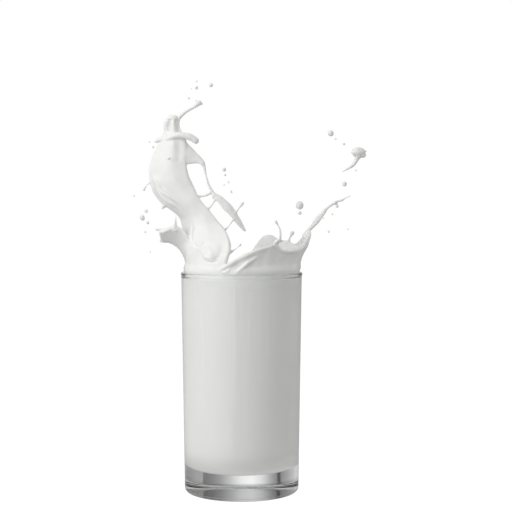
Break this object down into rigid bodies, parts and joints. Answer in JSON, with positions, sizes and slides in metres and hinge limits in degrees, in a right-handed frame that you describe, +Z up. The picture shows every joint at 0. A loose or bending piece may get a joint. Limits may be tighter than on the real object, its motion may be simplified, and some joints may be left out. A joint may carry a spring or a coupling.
{
  "type": "glass of milk",
  "caption": "Straight clear tumbler with a thick solid base, filled to the brim with milk that splashes up out of its mouth in a crown and a tall leaning tongue.",
  "frame": {"origin": "centre of the glass's foot, on the table", "axes": "+Z up the glass; the splash's tall tongue leans towards -X; the front is -Y"},
  "size_m": [0.1142, 0.0666, 0.2138],
  "materials": {
    "glass": "clear polished",
    "milk": "wet opaque white"
  },
  "bodies": {
    "root": {"glass": "glass", "milk": "milk"}
  },
  "joints": []
}
